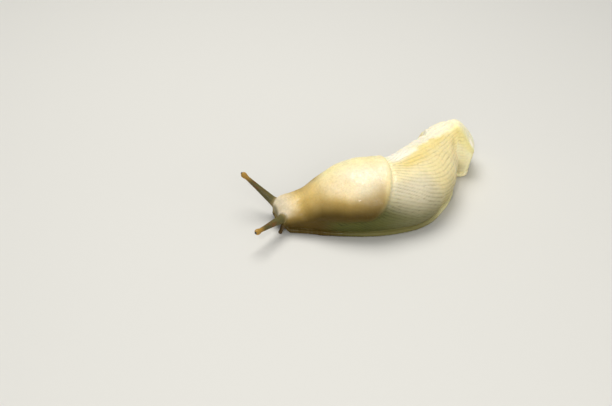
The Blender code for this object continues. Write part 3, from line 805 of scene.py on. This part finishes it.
def growFeeler(kind, side, points, faces, values, chart):
    # a hole is cut round the feeler's axis, and rings of skin climb from its rim to the tip
    spec = feelers[kind]
    root, way = feelerRoot(kind, side)
    middles = points[faces].mean(axis=1) - root
    height = middles @ way
    away = lengths(middles - height[:, None] * way)
    cut = (away < spec["rootRadius"] * sprout["cut"]) & (np.abs(height) < sprout["cutHeight"])
    cut = cut & (lengths(middles) < sprout["cutReach"])
    loop = boundaryLoop(faces[cut].tolist())
    faces, chart = faces[~cut], chart[~cut]
    rim = points[loop] - root
    rimHeight = rim @ way
    rimOut = rim - rimHeight[:, None] * way
    rimAway = lengths(rimOut)
    outwards = rimOut[0] / rimAway[0]
    sideways = np.cross(way, outwards)
    turn = np.unwrap(np.arctan2(rimOut @ sideways, rimOut @ outwards))
    fullTurn = math.copysign(2 * math.pi, turn[-1] - turn[0])
    even = turn[0] + fullTurn * np.arange(len(loop)) / len(loop)
    length = spec["length"][side]
    total = length + spec["bulb"][0]
    heights = ringHeights(spec, total)
    lumps = np.random.default_rng(len(kind) + len(side)).standard_normal((len(heights) + 1, len(loop)))
    grown, rings = [points], [np.array(loop)]
    for lump, high in zip(lumps, heights):
        settle = eased(high, 0, sprout["settles"])
        rough = 1 + sprout["lumps"] * lump * eased(high, 0.5, 2)
        radius = (rimAway * (1 - settle) + feelerRadius(spec, length, high) * settle) * rough
        spin = turn * (1 - settle) + even * settle
        ring = root + (high + rimHeight * (1 - settle))[:, None] * way
        out = np.cos(spin)[:, None] * outwards + np.sin(spin)[:, None] * sideways
        rings.append(sum(map(len, grown)) + np.arange(len(loop)))
        grown.append(ring + radius[:, None] * out)
    rings.append(np.full(len(loop), sum(map(len, grown))))
    grown.append((root + total * way)[None, :])

    slot = 2 * list(feelers).index(kind) + (side == "left")
    corner, size = np.array(bakeChart["feelers"][slot])
    first = np.arange(len(loop)) / len(loop)
    second = first + 1 / len(loop)
    across = np.stack([first, second, second, first], axis=1)
    highs = [0, *heights, total]
    for low, high, lower, upper in zip(highs, highs[1:], rings, rings[1:]):
        added = np.stack([lower, np.roll(lower, -1), np.roll(upper, -1), upper], axis=1)
        up = np.broadcast_to([low, low, high, high], across.shape) / total
        faces = np.vstack([faces, added])
        chart = np.concatenate([chart, corner + np.stack([up, across], axis=2) * size])

    shares = np.append(np.repeat(heights, len(loop)), total) / total
    merged = {}
    for name, value in values.items():
        onFeeler = value[loop].mean() if name in sprout["keeps"] else 0.0
        merged[name] = np.concatenate([value, np.full(len(shares), onFeeler)])
    merged[kind][len(points) :] = shares
    return np.vstack(grown), faces, merged, chart


def relax(points, faces, chosen, rounds):
    # chosen points move towards the middle of their neighbours
    ends = np.vstack([faces[:, [k, (k + 1) % 4]] for k in range(4)])
    ends = np.unique(np.sort(ends, axis=1), axis=0)
    ends = ends[ends[:, 0] != ends[:, 1]]
    links = np.bincount(ends.ravel(), minlength=len(points))
    for _ in range(rounds):
        total = np.zeros_like(points)
        for axis in range(3):
            total[:, axis] = np.bincount(ends[:, 0], points[ends[:, 1], axis], len(points))
            total[:, axis] += np.bincount(ends[:, 1], points[ends[:, 0], axis], len(points))
        middle = total / np.maximum(links, 1)[:, None]
        points = points + 0.5 * chosen[:, None] * (middle - points)
    return points


# Painted shade that darkens the skin towards the foot, standing in for the shade under the body:
# distance from the snout, share of the height where it is darkest, share where it begins, strength.
paintedShadeTable = [
    (0, 0.35, 0.88, 1.0),
    (6, 0.36, 1.1, 1.0),
    (11, 0.5, 1.2, 0.98),
    (17, 0.6, 1.13, 1.0),
    (22, 0.56, 1.0, 1.0),
    (27, 0.5, 0.91, 1.0),
    (34, 0.48, 1.02, 1.0),
    (39, 0.5, 1.12, 0.98),
    (42.5, 0.37, 0.99, 0.94),
    (46, 0.26, 0.93, 0.89),
    (49, 0.25, 0.94, 0.88),
    (55, 0.17, 0.85, 0.78),
    (63, 0.34, 0.82, 0.6),
    (76, 0.3, 0.7, 0.3),
    (84, 0.2, 0.6, 0.12),
    (95.7, 0.2, 0.6, 0.1),
]


def markSkin(values, points, inside):
    # what the skin's colours follow
    along, angle = values["along"], values["angle"]
    low = lowShare(along, angle, mantle["softAngles"], mantle["softEnds"])
    low = np.maximum(low, 1 - eased(along, *mantle["softFront"]))
    soft = mantle["hardEdge"] + mantle["softEdge"] * low
    values["mantle"] = eased(inside, -mantle["outside"] * soft, soft)
    # painted highlight along the mantle's rim
    values["rim"] = bell(inside, *mantle["paintedRimHighlight"]) * eased(along, *mantle["rimHighlightPaintedFrom"])
    # low: painted shade towards the foot, standing in for the shade under the body
    under, over, most = (np.interp(along, *np.transpose(paintedShadeTable)[[0, k]]) for k in (1, 2, 3))
    values["low"] = most * (1 - eased(points[:, 2] / girthAt(along, 3), under, over))
    away = [lengths(points - feelerRoot("optic", side)[0]) for side in ("left", "right")]
    values["collar"] = 1 - eased(np.minimum(*away), *sprout["stain"])
    for kind in feelers:
        values[kind] = np.zeros(len(points))


def shapeBody():
    points, values = skinGrid()
    points, faces, values, chart = weld(points, values)
    along, angle, fringe = values["along"], values["angle"], values["fringe"]
    values["aside"] = angle - keelAngle(along)
    inside = mantleInside(along, angle)
    hole, lip = holeDepth(along, angle)
    normals = normalsOf(points, faces)
    if normals[np.argmax(points[:, 2]), 2] < 0:
        faces, normals, chart = faces[:, ::-1], -normals, chart[:, ::-1]
    solid = 1 - values["sole"]
    lift = mantleLift(along, angle, inside) * solid * (fringe == 0)
    lift += bendLift(along, angle) * solid * (1 - fringe) + headLift(points)
    points = points + normals * lift[:, None]
    points, slit, dent = pushIn(points, along)
    lift = fineSkin(values, inside) + breathingHole["lip"] * lip - breathingHole["deep"] * hole
    points = points + normalsOf(points, faces) * lift[:, None]
    points[:, 2] = np.maximum(points[:, 2], 0)
    # where the hollows get painted shade, and the slime pit its white
    values["hollow"] = np.clip(hole + dent + slit, 0, 1)
    markSkin(values, points, inside)
    return points, faces, values, chart


def makeSkin():
    points, faces, values, chart = shapeBody()
    for kind in feelers:
        for side in ("left", "right"):
            before = len(points)
            points, faces, values, chart = growFeeler(kind, side, points, faces, values, chart)
            away = lengths(points - feelerRoot(kind, side)[0])
            inner = feelers[kind]["rootRadius"] * sprout["smoothFrom"]
            near = 1 - eased(away, inner, sprout["cutReach"])
            points = relax(points, faces, near, sprout["smoothRounds"])
            print("feeler grown:", kind, side, len(points) - before, "points")
    return points, faces, values, chart


def addItem(name, data):
    item = bpy.data.objects.new(name, data)
    bpy.context.scene.collection.objects.link(item)
    return item


def meshFrom(name, points, faces, values, chart):
    # corners that were welded together drop out, and so do faces left with fewer than three
    keep = np.ones(faces.shape, bool)
    for k in range(1, 4):
        keep[:, k] = (faces[:, :k] != faces[:, k : k + 1]).all(axis=1)
    whole = keep.sum(axis=1) > 2
    faces, keep, chart = faces[whole], keep[whole], chart[whole]
    used, corners = np.unique(faces[keep], return_inverse=True)
    sides = keep.sum(axis=1)
    data = bpy.data.meshes.new(name)
    data.vertices.add(len(used))
    data.vertices.foreach_set("co", (points[used] * mm).ravel())
    data.loops.add(len(corners))
    data.loops.foreach_set("vertex_index", corners.ravel())
    data.polygons.add(len(faces))
    data.polygons.foreach_set("loop_start", np.cumsum(sides) - sides)
    data.update(calc_edges=True)
    data.shade_smooth()
    bake = data.uv_layers.new(name="OFBake")
    bake.uv.foreach_set("vector", chart[keep].ravel())
    for key, value in values.items():
        attribute = data.attributes.new(key, "FLOAT", "POINT")
        attribute.data.foreach_set("value", value[used].astype(np.float32))
    return addItem(name, data)


skin = meshFrom("skin", *makeSkin())
print("skin made:", len(skin.data.vertices), "points")


class Wire:
    # A socket that can be used like a number.
    def __init__(self, tree, socket=None):
        self.tree = tree
        self.socket = socket

    def node(self, kind, settings=None, sockets=None, out=0):
        made = self.tree.nodes.new(kind)
        for name, value in (settings or {}).items():
            setattr(made, name, value)
        for name, value in (sockets or {}).items():
            if isinstance(value, Wire):
                self.tree.links.new(value.socket, made.inputs[name])
            else:
                made.inputs[name].default_value = value
        return Wire(self.tree, made.outputs[out])

    def math(self, operation, first, second):
        return self.node("ShaderNodeMath", {"operation": operation}, {0: first, 1: second})

    def __add__(self, other):
        return self.math("ADD", self, other)

    def __sub__(self, other):
        return self.math("SUBTRACT", self, other)

    def __rsub__(self, other):
        return self.math("SUBTRACT", other, self)

    def __mul__(self, other):
        return self.math("MULTIPLY", self, other)

    __radd__ = __add__
    __rmul__ = __mul__

    def ramp(self, start, end):
        sockets = {"Value": self, "From Min": start, "From Max": end}
        return self.node("ShaderNodeMapRange", {"interpolation_type": "SMOOTHSTEP"}, sockets)

    def into(self, colour, share):
        # this colour, blended towards another by a share
        return self.node("ShaderNodeMix", {"data_type": "RGBA"}, {0: share, 6: self, 7: colour}, out=2)

    def plain(self, colour):
        made = self.node("ShaderNodeRGB")
        made.socket.default_value = shade(*colour)
        return made


def linear(part):
    share = part / 255
    return ((share + 0.055) / 1.055) ** 2.4 if part > 10 else share / 12.92


def shade(red, green, blue):
    # a screen colour, 0 to 255, as Blender's own linear one
    return (linear(red), linear(green), linear(blue), 1.0)


# The colours are screen colours, 0 to 255.
wetSkin = {
    "flank": (238, 224, 176),
    # painted shade on the lower flank
    "flankPaintedShade": (87, 88, 40),
    # paler tail skin, brightened further as painted light on the tail's flap
    "tail": (254, 243, 196),
    "tailTop": (252, 240, 168),
    "mantle": (240, 206, 126),
    # pale mantle skin, also laid on as painted top light higher up
    "mantleTop": (249, 236, 203),
    # painted half shade and painted shade down the mantle's side
    "mantlePaintedHalfShade": (190, 148, 44),
    "mantlePaintedShade": (82, 64, 18),
    "head": (229, 213, 182),
    # pale crest and far side, partly painted top light
    "keel": (252, 246, 226),
    "band": (234, 203, 94),
    # painted shade in the furrows, wrinkles and pleats; also the skin's darker speckle and mottle
    "furrow": (128, 116, 72),
    "furrowPaintedShade": (40, 38, 14),
    # the fringe, darkened as painted shade near the floor
    "fringe": (120, 114, 66),
    "fringeLight": (226, 218, 164),
    "sole": (206, 200, 166),
    "feeler": (84, 80, 44),
    "feelerRed": (112, 70, 36),
    "feelerTip": (178, 136, 60),
    "lowerFeeler": (78, 60, 34),
    # painted shade in the breathing hole and the mouth's slit
    "hollow": (96, 76, 42),
    # white mucus in the slime pit, partly a painted glint
    "pit": (255, 250, 244),
    "cool": (200, 193, 180),
    "roughness": 0.42,
    "subsurface": 0.22,
    "scatter": (1.0, 0.62, 0.3),
    "depth": 1.6,  # of light in the flesh, in mm
    "coat": 0.4,
    "specular": 0.1,
    "coatRoughness": 0.12,
    "granules": 1300,  # a metre
    "grainHeight": 0.00004,  # in metres
    # waves a metre, and how many finer ones lie on each
    "noise": {
        "patches": (90, 3),
        "blotches": (260, 2),
        "stain": (420, 2),
        "mottle": (430, 3),
        "drops": (650, 2),
        "gloss": (700, 2),
        "coarseGrain": (798, 2),
        "speckle": (950, 2),
        "grain": (1900, 2),
    },
}

# Stretches of the body over which the colours change, in mm from the snout.
zones = {
    "snout": (0.4, 1.3),
    "head": (2.5, 10.5),
    "sole": (3, 8),
    "mantleStart": (12, 24),
    "neck": (15, 25),
    "paintedShadeFringe": (18, 36),
    "fringe": (18, 40),
    "paleMantle": (22, 36),
    "mantleEnd": (36, 42),
    "cool": (38, 43),
    "behindMantle": (43, 50),
    "lightFringe": (46, 60),
    "warmFlank": (47, 60),
    "coolEnd": (48, 56),
    "softFurrows": (50, 62),
    "yellows": (54, 66),
    "softCrest": (70, 84),
    "blotch": (76, 82),
    "bandEnd": (78, 88),
    "tailFurrows": (80, 86),
    "tail": (80, 87),
    "pit": (80, 90),
    "tailEnd": (92.5, 95),
}


def newFinish(name, fixed):
    material = bpy.data.materials.new(name)
    material.use_nodes = True
    shader = material.node_tree.nodes["Principled BSDF"]
    for socket, value in fixed.items():
        shader.inputs[socket].default_value = value
    return material, Wire(material.node_tree), shader


class SkinFields:
    # What the skin's colours and gloss follow. Angles are in radians from the keel.
    def __init__(self, paint):
        self.paint = paint
        self.spot = paint.node("ShaderNodeTexCoord", out="Object")
        self.height = paint.node("ShaderNodeSeparateXYZ", {}, {0: self.spot}, out="Z")
        # low is the painted shade towards the foot
        self.along, self.low = self.value("along"), self.value("low")
        self.right = self.value("aside")
        self.left = 0 - self.right
        self.mantle = self.value("mantle")
        self.mantleAndNeck = self.mantle + (1 - self.past("neck")) * (1 - self.mantle)
        self.onTail = self.past("tail")
        self.behind = self.past("behindMantle") * (1 - self.mantle)
        farSide = self.right.ramp(0.02, 0.2) * (1 - self.right.ramp(0.9, 1.5))
        self.farSide = self.behind * farSide * (1 - self.onTail * 0.5)
        self.patches = self.noise("patches").ramp(0.35, 0.68)
        self.blotches = self.noise("blotches")
        cell = {"Vector": self.spot, "Scale": wetSkin["granules"], "Smoothness": 0.4}
        feature = {"feature": "SMOOTH_F1"}
        self.granule = paint.node("ShaderNodeTexVoronoi", feature, cell, out="Distance")

    def value(self, name):
        return self.paint.node("ShaderNodeAttribute", {"attribute_name": name}, out="Fac")

    def past(self, zone):
        # 0 before a stretch of the body and 1 behind it
        return self.along.ramp(*zones[zone])

    def noise(self, name, rough=0.5):
        scale, detail = wetSkin["noise"][name]
        sockets = {"Vector": self.spot, "Scale": scale, "Detail": detail, "Roughness": rough}
        return self.paint.node("ShaderNodeTexNoise", {}, sockets, out="Fac")


# Each of these lists coats of colour in the order they are laid: name in wetSkin, share.
def flankCoats(at):
    crown = (1 - at.left.ramp(0.3, 0.9)) * (1 - at.right.ramp(0.3, 0.8))
    blotch = at.past("blotch") * at.left.ramp(0, 0.2) * (1 - at.left.ramp(0.45, 0.8))
    return [
        # painted shade towards the foot
        ("flankPaintedShade", at.low),
        ("band", at.past("warmFlank") * 0.2),
        # the tail painted paler, partly painted light on its flap
        ("tail", at.onTail),
        ("tailTop", at.onTail * crown * 0.85),
        ("band", blotch * (0.12 + at.patches * 0.3)),
    ]


def mantleCoats(at):
    pale = at.past("paleMantle") * (1 - at.past("mantleEnd") * 0.5) * (1 - at.low.ramp(0.1, 0.6))
    return [
        # painted top light: paler higher up the mantle, in patches
        ("mantleTop", at.height.ramp(0.013, 0.021) * (0.5 + at.patches * 0.4)),
        ("mantleTop", pale * 0.5),
        ("tailTop", at.right.ramp(-0.35, 0.3) * at.past("mantleStart") * 0.6),
        # painted shade down the mantle's side through a painted half shade, and painted shade between the
        # granules
        ("mantlePaintedHalfShade", at.low.ramp(0, 0.45) * 0.5),
        ("mantlePaintedShade", at.low),
        ("mantlePaintedShade", at.granule.ramp(0.3, 0.75) * 0.06),
        # painted highlight along the mantle's rim
        ("tailTop", at.value("rim") * (1 - at.low) * 0.4),
    ]


def headCoats(at):
    return [
        ("head", (1 - at.past("head")) * (1 - at.low.ramp(0.1, 0.7))),
        ("feeler", (1 - at.past("snout")) * at.height.ramp(0.004, 0.007) * 0.75),
    ]


def backCoats(at):
    # the far side and the crest are painted pale, pale skin with painted top light laid on it, and a
    # blotched yellow band runs beside the keel
    yellows = at.past("yellows")
    near = at.left + yellows * (at.blotches * 0.4 - 0.11)
    band = at.behind * near.ramp(0, 0.2) * (1 - near.ramp(0.2, 0.46)) * (1 - at.past("bandEnd") * 0.6)
    crest = at.behind * (1 - near.ramp(0.02, 0.12 + at.past("softCrest") * 0.35))
    crest = crest * (1 - at.right.ramp(0.1, 0.3)) * (1 - at.onTail)
    yellow = at.behind * yellows * (1 - at.left.ramp(0, 0.3)) * (1 - at.right.ramp(0.1, 0.6))
    cool = at.past("cool") * (1 - at.past("coolEnd")) * at.left.ramp(0.45, 0.8) * (1 - at.mantle)
    return [
        ("keel", at.farSide * (0.95 - yellows * 0.15)),
        ("band", band * (0.3 + at.patches * 0.5)),
        ("keel", crest * (0.9 - yellows * 0.2)),
        ("tailTop", yellow * (1 - at.onTail * 0.5) * (0.15 + at.patches * 0.4)),
        ("cool", cool * (1 - at.low) * 0.55),
    ]


def furrowCoats(at):
    lines = at.value("furrow") * 0.4 + at.value("cross") * 0.06
    lines = lines * (0.6 + at.blotches.ramp(0.38, 0.62) * 0.8) * (1 - at.farSide * 0.6)
    lines = lines * (1 - at.past("softFurrows") * 0.2) * (1 - at.past("tailFurrows") * 0.4)
    return [
        # painted shade in the bottoms of the furrows and wrinkles, darker within the painted shade
        # towards the foot
        ("furrow", (lines + at.value("wrinkle") * 0.26) * (1 - at.low)),
        ("furrowPaintedShade", lines * at.low * 1.5),
    ]


def footCoats(at):
    strip = at.onTail * at.left.ramp(1.15, 1.45) * (1 - at.past("tailEnd"))
    fringe = at.value("fringe").ramp(0.05, 0.3)
    return [
        ("fringe", strip * 0.35),
        # painted shade on the fringe under the head and the mantle's front
        ("mantlePaintedShade", fringe * (1 - at.past("paintedShadeFringe")) * 0.8),
        # the fringe painted darker, as painted shade near the floor
        ("fringe", fringe * at.past("fringe") * 0.85),
        ("fringeLight", fringe * at.past("lightFringe") * 0.9),
        # painted light on the tail's fringe
        ("tail", fringe * at.onTail * 0.9),
        # painted shade in the fringe's pleats
        ("furrow", at.value("pleat") * 0.2),
        ("fringeLight", at.value("climb") * 0.9),
        ("sole", at.value("sole") * at.past("sole")),
    ]


def grainCoats(at):
    speckle = at.noise("speckle").ramp(0.45, 0.7) * 0.09
    mottle = at.noise("mottle").ramp(0.4, 0.65) * at.mantleAndNeck * 0.06
    return [
        ("mantleTop", at.patches * (1 - at.low) * 0.1),
        ("furrow", (speckle + mottle) * (1 - at.low)),
    ]


def feelerCoats(at):
    optic, lower = at.value("optic"), at.value("lower")
    middle = optic.ramp(0.25, 0.45) * (1 - optic.ramp(0.6, 0.85))
    return [
        ("feeler", at.value("collar") * 0.6),
        ("feeler", optic.ramp(0, 0.12) * (0.8 + optic * 0.15)),
        ("feelerRed", middle * at.noise("stain").ramp(0.4, 0.62) * 0.7),
        ("feelerTip", optic.ramp(0.66, 0.9) * 0.85),
        ("lowerFeeler", lower.ramp(0.05, 0.4) * 0.85),
    ]


def hollowShadeAndPitCoats(at):
    # painted shade in the breathing hole and the mouth; the slime pit on the tail is white mucus, partly
    # a painted glint
    hollow = at.value("hollow")
    return [("hollow", hollow * (0.75 - at.past("pit"))), ("pit", hollow * at.onTail)]


def coated(colour, coats):
    for name, share in coats:
        colour = colour.into(shade(*wetSkin[name]), share)
    return colour


def makeSkinFinish():
    look = wetSkin
    fixed = {
        "Subsurface Weight": look["subsurface"],
        "Subsurface Radius": look["scatter"],
        "Subsurface Scale": look["depth"] * mm,
        "Coat Roughness": look["coatRoughness"],
        "Specular IOR Level": look["specular"],
    }
    material, paint, shader = newFinish("wet_skin", fixed)
    at = SkinFields(paint)
    colour = coated(paint.plain(look["flank"]), flankCoats(at))
    colour = colour.into(coated(paint.plain(look["mantle"]), mantleCoats(at)), at.mantleAndNeck)
    for coats in (headCoats, backCoats, furrowCoats, footCoats, grainCoats, feelerCoats, hollowShadeAndPitCoats):
        colour = coated(colour, coats(at))
    rough = look["roughness"] + at.noise("gloss").ramp(0.3, 0.7) * 0.14 - at.mantleAndNeck * 0.04
    grains = at.noise("grain", 0.6) + at.noise("coarseGrain") * 0.8 - at.granule * at.mantleAndNeck * 1.6
    relief = {"Height": grains, "Distance": look["grainHeight"], "Strength": 1.0}
    coat = look["coat"] * (0.3 + at.noise("drops").ramp(0.44, 0.6) * 0.9) * (1 - at.low * 0.6)
    varied = {
        "Base Color": colour,
        "Roughness": rough,
        "Normal": paint.node("ShaderNodeBump", {}, relief),
        "Coat Weight": coat,
    }
    for socket, wire in varied.items():
        paint.tree.links.new(wire.socket, shader.inputs[socket])
    return material


skin.data.materials.append(makeSkinFinish())
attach(skin, "root")
fleshNodes = [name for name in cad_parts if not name.startswith("eye_")]
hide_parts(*fleshNodes)
print("skin finished")

eyes = {
    "radius": 0.46,
    "flatness": 0.8,
    "sunk": 0.12,
    "colour": (16, 12, 9),
    "cloud": (46, 30, 16),
    "cloudScale": 2500,
    "roughness": 0.12,
}


def makeEyeFinish():
    material, paint, shader = newFinish("eye_black", {"Roughness": eyes["roughness"], "Coat Weight": 1.0})
    spot = paint.node("ShaderNodeTexCoord", out="Object")
    cloud = paint.node("ShaderNodeTexNoise", {}, {"Vector": spot, "Scale": eyes["cloudScale"]}, out="Fac")
    black = paint.plain(eyes["colour"]).into(shade(*eyes["cloud"]), cloud.ramp(0.5, 0.8) * 0.5)
    paint.tree.links.new(black.socket, shader.inputs["Base Color"])
    return material


def makeEyes():
    material = makeEyeFinish()
    spec = feelers["optic"]
    for side in ("left", "right"):
        root, way = feelerRoot("optic", side)
        middle = root + way * (spec["length"][side] + spec["bulb"][0] - eyes["sunk"])
        bpy.ops.mesh.primitive_uv_sphere_add(
            segments=32, ring_count=16, radius=eyes["radius"] * mm, location=Vector(middle * mm)
        )
        eye = bpy.context.object
        eye.name = f"eye_bead_{side}"
        eye.scale = (1, 1, eyes["flatness"])
        eye.rotation_euler = Vector(way).to_track_quat("Z", "Y").to_euler()
        eye.data.shade_smooth()
        eye.data.materials.append(material)
        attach(eye, "root")
        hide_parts(f"eye_{side}")


makeEyes()
print("eyes made")

studio = {
    "floor": (214, 212, 206),
    "floorRoughness": 0.85,
    "floorSize": 8.0,  # in metres
    "floorDrop": 0.1,
    "world": (0.9, 0.95, 1.0, 1.0),
    "worldStrength": 0.24,
    # place in metres from the target, size, watts, colour
    "lights": {
        "top": ((-0.05, 0.16, 0.55), 0.44, 2.9, (1.0, 0.985, 0.95)),
        "front": ((0.08, -0.5, 0.3), 0.4, 0.9, (1.0, 0.98, 0.94)),
        "side": ((0.5, -0.2, 0.14), 0.3, 0.42, (1.0, 0.98, 0.94)),
        "glint": ((-0.05, -0.35, 0.32), 0.02, 0.3, (1.0, 1.0, 1.0)),
    },
}
view = {"target": (-0.0222, -0.0013, 0.0), "elevation": 35, "distance": 0.408, "lens": 60, "sensor": 36}


def makeStudio():
    bpy.ops.mesh.primitive_plane_add(size=studio["floorSize"], location=(0, 0, -studio["floorDrop"] * mm))
    floor = bpy.context.object
    floor.name = "floor"
    fixed = {"Base Color": shade(*studio["floor"]), "Roughness": studio["floorRoughness"]}
    floor.data.materials.append(newFinish("floor", fixed)[0])
    world = bpy.data.worlds.new("studio")
    bpy.context.scene.world = world
    world.use_nodes = True
    sky = world.node_tree.nodes["Background"]
    sky.inputs["Color"].default_value = studio["world"]
    sky.inputs["Strength"].default_value = studio["worldStrength"]
    target = Vector(view["target"])
    for name, (away, size, watts, colour) in studio["lights"].items():
        light = bpy.data.lights.new(name, "AREA")
        light.shape = "DISK"
        light.size, light.energy, light.color = size, watts, colour
        item = addItem(name, light)
        item.location = target + Vector(away)
        item.rotation_euler = (-Vector(away)).to_track_quat("-Z", "Y").to_euler()


def makeCamera():
    data = bpy.data.cameras.new("camera")
    data.lens, data.sensor_width, data.clip_start = view["lens"], view["sensor"], 0.01
    camera = addItem("camera", data)
    rise = math.radians(view["elevation"])
    back = Vector((0, -math.cos(rise), math.sin(rise)))
    camera.location = Vector(view["target"]) + back * view["distance"]
    camera.rotation_euler = (-back).to_track_quat("-Z", "Y").to_euler()
    bpy.context.scene.camera = camera


makeStudio()
makeCamera()
bpy.context.scene.view_settings.view_transform = "Standard"
print("studio ready")
